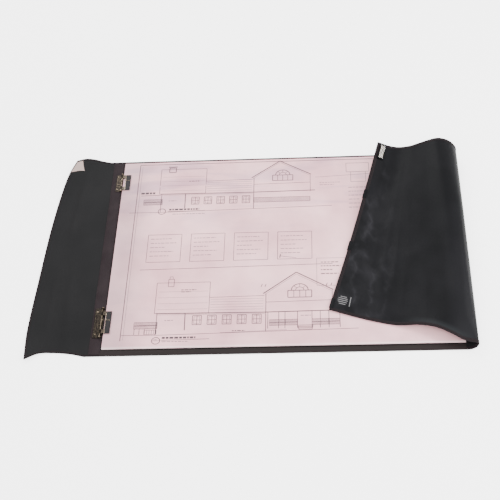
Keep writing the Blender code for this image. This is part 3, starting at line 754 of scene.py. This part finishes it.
def paper_sheet(name, number, material):
    """One sheet as a closed thin slab; lower ones follow the top one less and less."""
    columns, rows = (160, 110) if number == 4 else (70, 50)
    shift = {4: (0, 0), 3: (0.8, -0.7), 2: (-0.4, 0.6), 1: (0.5, -0.3)}[number]
    xs, ys = np.linspace(0, SHEET_WIDTH, columns), np.linspace(0, SHEET_DEPTH, rows)
    x, y = (a.ravel() for a in np.meshgrid(xs, ys))
    own = (SHEETS_TOP - 0.15) - (4 - number) * 0.55
    z = own + (paper_z(x, y) - (SHEETS_TOP - 0.15)) * (1 - 0.15 * (4 - number))
    top = np.stack([x + shift[0], y + shift[1], z], axis=1)
    points = np.concatenate([top, top - np.array([0, 0, 0.3])])
    thing = add_mesh(name, points, layer_faces(columns, rows), material, 50.0)
    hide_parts(f"drawing_sheet_{number}")
    return thing


sheets = [paper_sheet(f"paper_sheet_{n}", n, drawing_paper if n == 4 else lower_paper) for n in (1, 2, 3, 4)]
ride_on("drawings", *sheets)

strokes = {"ink": [], "faint_ink": []}


def line(points, width=1.0, kind="ink", closed=False):
    points = list(points) + ([points[0]] if closed else [])
    for a, b in zip(points, points[1:]):
        strokes[kind].append((a, b, width * 1.45))


def rectangle(x0, y0, x1, y1, width=1.0, kind="ink"):
    line([(x0, y0), (x1, y0), (x1, y1), (x0, y1)], width, kind, True)


def arc(cx, cy, rx, ry, start, end, width=1.0, kind="ink", steps=14):
    turns = [math.radians(start + (end - start) * k / steps) for k in range(steps + 1)]
    line([(cx + rx * math.cos(t), cy + ry * math.sin(t)) for t in turns], width, kind)


def bars(x, y, lengths, step=6.0, width=1.6, kind="ink", gap=2.2):
    """Rows of short dashes where a drawing would have words."""
    for row, length in enumerate(lengths):
        at = 0.0
        while at < length:
            word = min(rng.uniform(4, 11), length - at)
            if word > 1.5:
                line([(x + at, y - row * step), (x + at + word, y - row * step)], width, kind)
            at += word + gap


def hatch(x0, y0, x1, y1, pitch):
    rectangle(x0, y0, x1, y1, 0.8)
    x = x0 + pitch
    while x < x1:
        line([(x, y0), (x, y1)], 0.72)
        x += pitch


def window(x0, y0, x1, y1):
    rectangle(x0, y0, x1, y1, 1.2)
    rectangle(x0 + 4, y0 + 3.5, x1 - 4, y1 - 3.5, 0.8, "faint_ink")
    line([((x0 + x1) / 2, y0), ((x0 + x1) / 2, y1)], 1.0)
    line([(x0, (y0 + y1) / 2), (x1, (y0 + y1) / 2)], 1.0)


def house(x, y, eave, roof, porch, floor, tall, k):
    """A plain long building seen from one side: x, y is its left foot, and k narrows it."""
    line([(x, eave), (x + 282 * k, eave - 2), (x + 470 * k, eave)], 1.8)
    line([(x, eave - 4), (x + 282 * k, eave - 6)], 0.7, "faint_ink")
    rectangle(x - 4, eave, x + 137 * k, roof, 0.9)
    line([(x + 137 * k, eave + 46 * k), (x + 280 * k, eave + 48 * k)], 0.9)
    for n in range(5):
        line([(x + 140 * k, eave + (8 + n * 8) * k), (x + 278 * k, eave + (8 + n * 8) * k)], 0.6, "faint_ink")
    for n in range(4):
        line([(x + 2, eave + (12 + n * 18) * k), (x + 132 * k, eave + (12 + n * 18) * k)], 0.5, "faint_ink")
    line([(x + 3, eave), (x + 3, y)], 1.1)
    line([(x + 76 * k, eave), (x + 77 * k, y + 12)], 1.7)
    for n in range(5):
        left_side = x + (96 + n * 38.5) * k
        window(left_side, floor, left_side + 23 * k, floor + 27 * k)
    bars(x + 24, floor + 14, [22], 6, 1.3, "faint_ink")
    apex = x + 363 * k
    line([(x + 277 * k, tall), (apex, tall + 64 * k), (x + 459 * k, tall + 8 * k)], 1.9)
    line([(x + 281 * k, tall - 3), (apex, tall + 58 * k), (x + 454 * k, tall + 5 * k)], 0.7, "faint_ink")
    line([(x + 284 * k, tall), (x + 285 * k, y + 4)], 1.3)
    line([(x + 456 * k, tall + 6), (x + 456 * k, eave - 4)], 0.9)
    line([(x + 284 * k, tall - 26 * k), (x + 455 * k, tall - 23 * k)], 0.9)
    middle = apex + 9 * k
    arc(middle, tall + 8 * k, 22 * k, 20 * k, 0, 180, 1.5)
    arc(middle, tall + 8 * k, 11 * k, 10 * k, 0, 180, 1.0)
    for turn in (45, 90, 135):
        c, s = math.cos(math.radians(turn)), math.sin(math.radians(turn))
        line([(middle + 11 * k * c, tall + (8 + 10 * s) * k), (middle + 22 * k * c, tall + (8 + 20 * s) * k)], 0.9)
    rectangle(middle - 31 * k, tall - 13 * k, middle + 31 * k, tall + 8 * k, 1.4)
    for n in (-0.5, 0.0, 0.5):
        line([(middle + n * 31 * k, tall - 13 * k), (middle + n * 31 * k, tall + 8 * k)], 1.0)
    line([(x - 84, y), (x + 5, y - 1), (x + 282 * k, y + 4), (x + 520 * k, y + 8)], 0.9)
    if porch:
        for start, end in ((294, 366), (403, 474)):
            hatch(x + start, y + 21, x + end, y + 38, 2.6)
            line([(x + start, y + 29), (x + end, y + 30)], 1.2)
        for post in (290, 318, 334, 366, 403, 424, 446, 474):
            line([(x + post, y + 12), (x + post, eave - 2)], 1.1)
        for n in range(3):
            rectangle(x + 369 - n, y + 8 + n * 4, x + 403 + n, y + 12 + n * 4, 1.0)
        bars(x + 374, eave - 14, [26], 6, 1.3, "faint_ink")
    else:
        hatch(x + 284 * k, y + 26, x + 455 * k, y + 42, 3.0)


line([(45, 22), (45, 602), (905, 602), (905, 22)], 1.3)
line([(52, 24), (52, 597)], 0.6, "faint_ink")

house(131, 38, 101, 195, True, 66, 155, 1.0)
hatch(77, 56, 137, 75, 2.8)
line([(77, 65), (137, 66)], 1.4)
for post in (79, 92, 105, 135):
    line([(post, 39), (post, 56)], 1.0)
hatch(106, 40, 136, 52, 6.0)
arc(137, 21, 10.5, 9.5, 0, 360, 1.4, "ink", 22)
line([(127, 21), (147, 21)], 0.7)
bars(131, 24, [12], 4, 1.0)
bars(152, 29, [86], 6, 4.0)
line([(150, 22), (273, 24)], 1.0)
bars(152, 18, [70], 5, 1.4, "faint_ink")
bars(330, 46, [34], 6, 1.8)
line([(300, 41), (470, 46)], 0.7, "faint_ink")
rectangle(157, 183, 172, 206, 1.0)
rectangle(160, 206, 168, 214, 0.8)
bars(192, 172, [40, 26], 6, 1.6)
line([(450, 266), (452, 278)], 1.6)
line([(452, 272), (494, 265)], 0.9)
rectangle(548, 176, 640, 262, 0.7, "faint_ink")
bars(559, 249, [46, 52, 30, 46], 12, 1.8)
for x in (402, 412, 572, 584):
    line([(x, 176), (x + 3, 184)], 1.3)

house(112, 430, 494, 583, False, 455, 544, 0.925)
hatch(66, 456, 119, 475, 2.8)
line([(66, 465), (119, 466)], 1.4)
bars(56, 498, [42], 6, 4.6)
line([(56, 489), (112, 490)], 1.2)
rectangle(131, 572, 150, 588, 1.5)
line([(128, 592), (153, 592)], 2.0)
bars(190, 538, [30], 6, 1.8)
line([(548, 540), (700, 548)], 0.8, "faint_ink")
bars(560, 520, [60, 40], 8, 1.2, "faint_ink")
rectangle(636, 556, 700, 588, 0.8)
rectangle(648, 520, 690, 556, 0.8, "faint_ink")

arc(120, 432, 10.5, 9.5, 0, 360, 1.4, "ink", 22)
bars(140, 438, [84], 6, 4.0)
line([(136, 431), (240, 432)], 1.0)
bars(150, 422, [90], 6, 1.3, "faint_ink")
for n in range(4):
    rectangle(90 + n * 118, 262, 182 + n * 118, 352, 0.9)
    bars(98 + n * 118, 338, [60, 70, 40, 64, 52], 14, 1.3, "faint_ink")
line([(76, 238), (590, 244)], 1.0)
bars(640, 500, [70, 60, 66, 30, 70, 52], 14, 1.4, "faint_ink")

for kind, material in (("ink", ink), ("faint_ink", faint_ink)):
    points, faces = [], []
    for a, b, width in strokes[kind]:
        a, b = np.array(a, float), np.array(b, float)
        length = np.linalg.norm(b - a)
        if length < 1e-6:
            continue
        ahead = (b - a) / length
        side = np.array([-ahead[1], ahead[0]]) * width / 2
        steps = max(1, int(length / 7))
        for k in range(steps + 1):
            p = a + (b - a) * k / steps
            for q in (p + side, p - side):
                points.append((q[0], q[1], float(paper_z(q[0], q[1])) + 0.13))
        first = len(points) - 2 * (steps + 1)
        for k in range(steps):
            s = first + 2 * k
            faces.append([s, s + 1, s + 3, s + 2])
    lines = add_mesh(f"drawn_lines_{kind}", np.array(points), faces, material, 80.0)
    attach(lines, "drawings")


# ---- clips
def block(name, low, high, radius, material):
    """A block with rounded edges."""
    low, high = np.array(low, float), np.array(high, float)
    points = [(x, y, z) for x in (low[0], high[0]) for y in (low[1], high[1]) for z in (low[2], high[2])]
    faces = [(0, 1, 3, 2), (4, 6, 7, 5), (0, 4, 5, 1), (2, 3, 7, 6), (0, 2, 6, 4), (1, 5, 7, 3)]
    thing = add_mesh(name, points, faces, material, 180.0)
    bevel = thing.modifiers.new("round", "BEVEL")
    bevel.width = min(radius, 0.49 * float((high - low).min())) / 1000
    bevel.segments = 3
    bevel.limit_method = "ANGLE"
    bevel.harden_normals = True
    return thing


def turned(name, outline, centre, axis, material):
    """A solid of revolution about y or z: outline is (distance along the axis, radius)."""
    points, faces, sides = [], [], 28
    for along, radius in outline:
        for k in range(sides):
            turn = 2 * math.pi * k / sides
            a, b = radius * math.cos(turn), radius * math.sin(turn)
            points.append((centre[0] + a, centre[1] + along, centre[2] + b) if axis == "y"
                          else (centre[0] + a, centre[1] + b, centre[2] + along))
    for ring in range(len(outline) - 1):
        for k in range(sides):
            a, b = ring * sides + k, ring * sides + (k + 1) % sides
            faces.append([a, b, b + sides, a + sides])
    faces += [list(range(sides)), list(range((len(outline) - 1) * sides, len(outline) * sides))]
    return add_mesh(name, points, faces, material, 35.0)


def wire(name, path, radius, material):
    """A round wire along a path."""
    path = np.array(path, float)
    ahead = np.gradient(path, axis=0)
    ahead /= np.linalg.norm(ahead, axis=1)[:, None]
    first = np.cross(ahead, [0.0, 1.0, 0.0])
    first /= np.linalg.norm(first, axis=1)[:, None]
    second = np.cross(ahead, first)
    turns = [2 * math.pi * k / 10 for k in range(10)]
    profile = [(radius * math.cos(turn), radius * math.sin(turn)) for turn in turns]
    return sweep(name, path, first, second, profile, material, 60.0)


PIN_Z = 7.8
CLIPS = {
    # centre along y, base (left, right, length), pin, jaw (right, length), rivets (x, distance from the centre)
    "lower": (77.0, (-28.0, -3.9, 88.0), -8.5, (16.5, 66.0), (-21.5, 33.0)),
    "upper": (538.0, (-20.0, -0.6, 60.0), -4.0, (21.5, 54.0), (-15.5, 22.0)),
}
for side, clip in CLIPS.items():
    centre, (base_left, base_right, base_length), pin_x, (jaw_right, jaw_length), (rivet_x, rivet_reach) = clip
    low, high = centre - base_length / 2, centre + base_length / 2
    base = block(f"{side}_base_plate", (base_left, low, 3.2), (base_right, high, 4.5), 0.5, clip_bronze)
    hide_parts(f"{side}_clip_base")
    extra = [base]
    for end, y in (("front", low + 1.2), ("back", high - 1.2)):
        ear = turned(
            f"{side}_{end}_ear", [(-1.1, 2.9), (-0.9, 3.2), (0.9, 3.2), (1.1, 2.9)], (pin_x, y, PIN_Z), "y",
            clip_steel,
        )
        foot = block(
            f"{side}_{end}_foot", (pin_x - 3.1, y - 1.1, 4.0), (pin_x + 3.1, y + 1.1, PIN_Z), 0.3, clip_bronze,
        )
        extra += [ear, foot]
    for k, x in enumerate((base_left + 2.2, base_left + 10.5)):
        extra.append(block(
            f"{side}_base_rib_{k}", (x, low + 5, 4.3), (x + 1.6, high - 5, 5.1), 0.4, clip_ribs
        ))
    reach = base_length / 2 + 1.4
    pin = turned(
        f"{side}_hinge_pin",
        [(-reach, 0.7), (0.3 - reach, 1.5), (1.1 - reach, 1.5), (1.2 - reach, 1.1),
         (reach - 1.2, 1.1), (reach - 1.1, 1.5), (reach - 0.3, 1.5), (reach, 0.7)],
        (pin_x, centre, PIN_Z), "y", clip_steel,
    )
    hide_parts(f"{side}_pin")
    coil = []
    for k in range(97):
        share = k / 96
        turn = -math.pi / 2 - 2 * math.pi * 6.5 * share
        coil.append((pin_x + 2.0 * math.cos(turn), centre - 6 + 12 * share, PIN_Z + 2.0 * math.sin(turn)))
    start = [(pin_x - 11.5, centre - 6, 5.3), (pin_x - 7, centre - 6, 5.5), (pin_x - 3.0, centre - 6, 5.75)]
    finish = [(pin_x + 4.0, centre + 6, 9.6), (jaw_right - 6, centre + 6, 9.1), (jaw_right - 3, centre + 6, 8.6)]
    spring = wire(f"{side}_coil_spring", start + coil + finish, 0.45, clip_steel)
    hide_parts(f"{side}_spring")
    rivets = []
    for number, y in ((1, centre - rivet_reach), (2, centre + rivet_reach)):
        head = turned(
            f"{side}_rivet_head_{number}",
            [(-1.2, 2.0), (0.0, 2.6), (0.5, 2.45), (0.95, 1.9), (1.25, 1.0), (1.32, 0.2)], (rivet_x, y, 4.6), "z",
            clip_steel,
        )
        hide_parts(f"{side}_rivet_{number}")
        rivets.append(head)
    ride_on("case", *extra, pin, spring, *rivets)
    jaw_low, jaw_high = centre - jaw_length / 2, centre + jaw_length / 2
    plate_left = jaw_right - 14.5
    plate = block(
        f"{side}_jaw_plate", (plate_left, jaw_low, 6.6), (jaw_right, jaw_high, 7.8), 0.5, clip_dark
    )
    arms = [
        block(f"{side}_jaw_arm_{k}", (pin_x + 1.4, a, 6.6), (plate_left + 1.0, b, 7.7), 0.3, clip_ribs)
        for k, (a, b) in enumerate(((jaw_low, jaw_low + 12), (jaw_high - 12, jaw_high)))
    ]
    barrels = [
        turned(
            f"{side}_knuckle_{k}", [(-6, 2.0), (-5.7, 2.3), (5.7, 2.3), (6, 2.0)], (pin_x, y, PIN_Z), "y",
            clip_bronze,
        )
        for k, y in enumerate((jaw_low + 6, jaw_high - 6))
    ]
    rib = block(
        f"{side}_jaw_rib", (plate_left + 3, jaw_low + 3, 7.6), (jaw_right - 2.9, jaw_high - 3, 8.3), 0.34, clip_dark,
    )
    lip_edge = block(
        f"{side}_jaw_lip", (plate_left - 0.4, jaw_low + 0.4, 6.5), (plate_left + 0.9, jaw_high - 0.4, 8.2), 0.4,
        clip_steel,
    )
    pad = block(
        f"{side}_rubber_pad", (pin_x + 10.8, jaw_low + 1, 5.0), (jaw_right - 0.8, jaw_high - 1, 6.6), 0.3, pad_rubber,
    )
    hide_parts(f"{side}_jaw")
    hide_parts(f"{side}_jaw_pad")
    ride_on(f"{side}_jaw", plate, *arms, *barrels, rib, lip_edge, pad)

# ---- closure tabs
for number, along in enumerate((0.03, 0.38, 0.69), 1):
    half = 13.0 / FREE_EDGE
    vs = np.linspace(along - half + 0.004, along + half + 0.004, 9)
    points, out, inward = edge_line(right, np.ones(9), vs, (1, 0))
    tab = sweep(
        f"tab_{number}", points, out, inward,
        [(-9, -0.5), (-9, -1.1), (-8.4, -1.5), (1.8, -1.5), (2.8, -0.8), (3.0, CLOTH / 2), (2.8, CLOTH + 0.8),
         (1.8, CLOTH + 1.5), (-13.4, CLOTH + 1.5), (-14, CLOTH + 1.1), (-14, CLOTH + 0.4), (1.6, CLOTH + 0.4),
         (1.6, -0.5)],
        shell_cloth,
    )
    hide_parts(f"closure_tab_{number}")
    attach(tab, "right_flap")

# ---- label pocket, card and window
POCKET_ALONG = 0.953
one = np.ones(1)
corner = right.plain(one, one * POCKET_ALONG)[0]
edge_way = (right.plain(one, one * (POCKET_ALONG + 0.04)) - right.plain(one, one * (POCKET_ALONG - 0.04)))[0]
edge_way = edge_way / np.linalg.norm(edge_way)
out_way = -normals_of(right.plain, flap_u(one * 0.965), one * POCKET_ALONG, 1.0)[0]
in_way = np.cross(out_way, edge_way)
out_way = np.cross(edge_way, in_way)
in_way = in_way / np.linalg.norm(in_way)
if in_way[0] < 0:
    in_way = -in_way
pocket_middle = corner + 16.5 * in_way + 2.6 * out_way


def pocket_piece(name, outline, start, end, material, replaced=None):
    """A piece of constant section in the pocket, run along the free edge from start to end."""
    ends = np.array([pocket_middle + edge_way * start, pocket_middle + edge_way * end])
    thing = sweep(name, ends, np.tile(in_way, (2, 1)), np.tile(out_way, (2, 1)), outline, material, 35.0)
    if replaced:
        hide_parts(replaced)
    return thing


pocket = pocket_piece(
    "pocket_frame",
    [(-9.5, -2.2), (9.5, -2.2), (9.5, 1.3), (9.2, 1.8), (7.7, 1.8), (7.7, 0.4), (-7.7, 0.4), (-7.7, 1.8),
     (-9.2, 1.8), (-9.5, 1.3)], -22, 22, shell_cloth, "label_pocket",
)
card = pocket_piece(
    "card", [(-7.5, 0.8), (7.5, 0.8), (7.5, 1.15), (-7.5, 1.15)], -20.5, 20.5, label_card, "label_card"
)
pane = pocket_piece(
    "clear_pane", [(-9.4, 1.85), (9.4, 1.85), (9.4, 2.05), (-9.4, 2.05)], -22, 22, clear_window,
    "label_window",
)
across = [(-6.4, 2.1), (6.4, 2.1), (6.4, 2.45), (-6.4, 2.45)]
rims = [
    pocket_piece(f"rim_{name}", outline, start, end, shell_cloth)
    for name, outline, start, end in (
        ("outer", [(-9.5, 2.1), (-6.2, 2.1), (-6.4, 2.5), (-9.3, 2.5)], -22, 22),
        ("inner", [(6.2, 2.1), (9.5, 2.1), (9.3, 2.5), (6.4, 2.5)], -22, 22),
        ("front", across, -22, -18.6),
        ("back", across, 18.6, 22),
    )
]
ride_on("right_flap", pocket, pane, *rims)
ride_on("label_card", card)

# ---- corner label on the left flap
PATCH_CORNERS = ((0.985, 0.940), (0.655, 0.938), (0.820, 0.992), (0.975, 0.992))  # (u, v), round from the front left


def patch_surface(u, v):
    """The left flap over a four-cornered patch that is not square with the flap's own edges."""
    u, v = np.broadcast_arrays(np.asarray(u, float), np.asarray(v, float))
    corners = np.array(PATCH_CORNERS)
    front = corners[0] + (corners[1] - corners[0]) * (1 - u)[:, None]
    back = corners[3] + (corners[2] - corners[3]) * (1 - u)[:, None]
    spot = front + (back - front) * v[:, None]
    return left(spot[:, 0], spot[:, 1])


patch_steps = np.linspace(0, 1, 12)
patch_cloth = Cloth(patch_surface, -1.0)
corner_patch = slab(
    "corner_patch", patch_cloth, patch_steps, patch_steps, CLOTH + 0.1, CLOTH + 0.5, patch_card
)
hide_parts("corner_label")
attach(corner_patch, "left_flap")


# ---- plain printed emblem on the right flap
def on_flap(a, b):
    """Emblem coordinates: a along the free edge from its front corner, b in from it, in millimetres."""
    return flap_u(1 - b / FLAP_REACH), a / FREE_EDGE


def printed(name, outline_rows, lift=0.12):
    points, faces = [], []
    for (a0, b0, a1, b1) in outline_rows:
        steps = 5
        grid_a, grid_b = np.meshgrid(np.linspace(a0, a1, steps), np.linspace(b0, b1, steps))
        u, v = on_flap(grid_a.ravel(), grid_b.ravel())
        p = right(u, v) - right.inward(u, v) * lift
        first = len(points)
        points += p.tolist()
        for j in range(steps - 1):
            for i in range(steps - 1):
                s = first + j * steps + i
                faces.append([s, s + 1, s + steps + 1, s + steps])
    thing = add_mesh(name, np.array(points), faces, print_white, 80.0)
    return thing


emblem = printed("emblem", [
    (22, 14, 23.8, 27), (27, 11, 28.8, 29), (32, 10, 33.8, 30), (37, 11, 38.8, 29), (42, 14, 43.8, 27),
    (20, 34, 46, 35.6),
])
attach(emblem, "right_flap")

# ---- floor, light and camera
floor_mesh = bpy.data.meshes.new("floor")
floor_mesh.from_pydata([(-6, -6, -0.0006), (6, -6, -0.0006), (6, 6, -0.0006), (-6, 6, -0.0006)], [], [(0, 1, 2, 3)])
floor_mesh.materials.append(
    new_material("floor_white", (0.93, 0.93, 0.93), 0.9, Emission_Color=(1, 1, 1, 1), Emission_Strength=2.4)
)
floor = bpy.data.objects.new("floor", floor_mesh)
bpy.context.scene.collection.objects.link(floor)

world = bpy.data.worlds.new("studio")
world.use_nodes = True
world.node_tree.nodes["Background"].inputs["Color"].default_value = (1, 1, 1, 1)
world.node_tree.nodes["Background"].inputs["Strength"].default_value = 1.7
bpy.context.scene.world = world


def soft_light(name, at, aim, size, power):
    data = bpy.data.lights.new(name, "AREA")
    data.shape = "RECTANGLE"
    data.size, data.size_y = size
    data.energy = power
    lamp = bpy.data.objects.new(name, data)
    lamp.location = at
    lamp.rotation_euler = (Vector(aim) - Vector(at)).to_track_quat("-Z", "Y").to_euler()
    bpy.context.scene.collection.objects.link(lamp)


soft_light("key", (-0.6, 1.9, 2.2), (0.1, 0.0, 0.0), (1.6, 1.0), 50)
soft_light("right", (2.3, 0.1, 1.5), (0.4, 0.0, 0.0), (1.0, 1.4), 55)
soft_light("front", (0.3, -1.6, 2.6), (0.0, 0.0, 0.0), (2.4, 1.6), 70)

camera_data = bpy.data.cameras.new("camera")
camera_data.sensor_width = 36.0
camera_data.lens = 67.43
camera_data.shift_x = -0.06
camera_data.clip_start = 0.05
camera = bpy.data.objects.new("camera", camera_data)
camera.location = Vector(place((575.2, -1141.7, 2063.4)).tolist())
tilt, turn, roll = math.radians(55.043), math.radians(-4.973), math.radians(-5.49)
look = Vector((math.sin(turn) * math.cos(tilt), math.cos(turn) * math.cos(tilt), -math.sin(tilt)))
camera.rotation_euler = (look.to_track_quat("-Z", "Y") @ Quaternion((0, 0, 1), roll)).to_euler()
bpy.context.scene.collection.objects.link(camera)
bpy.context.scene.camera = camera
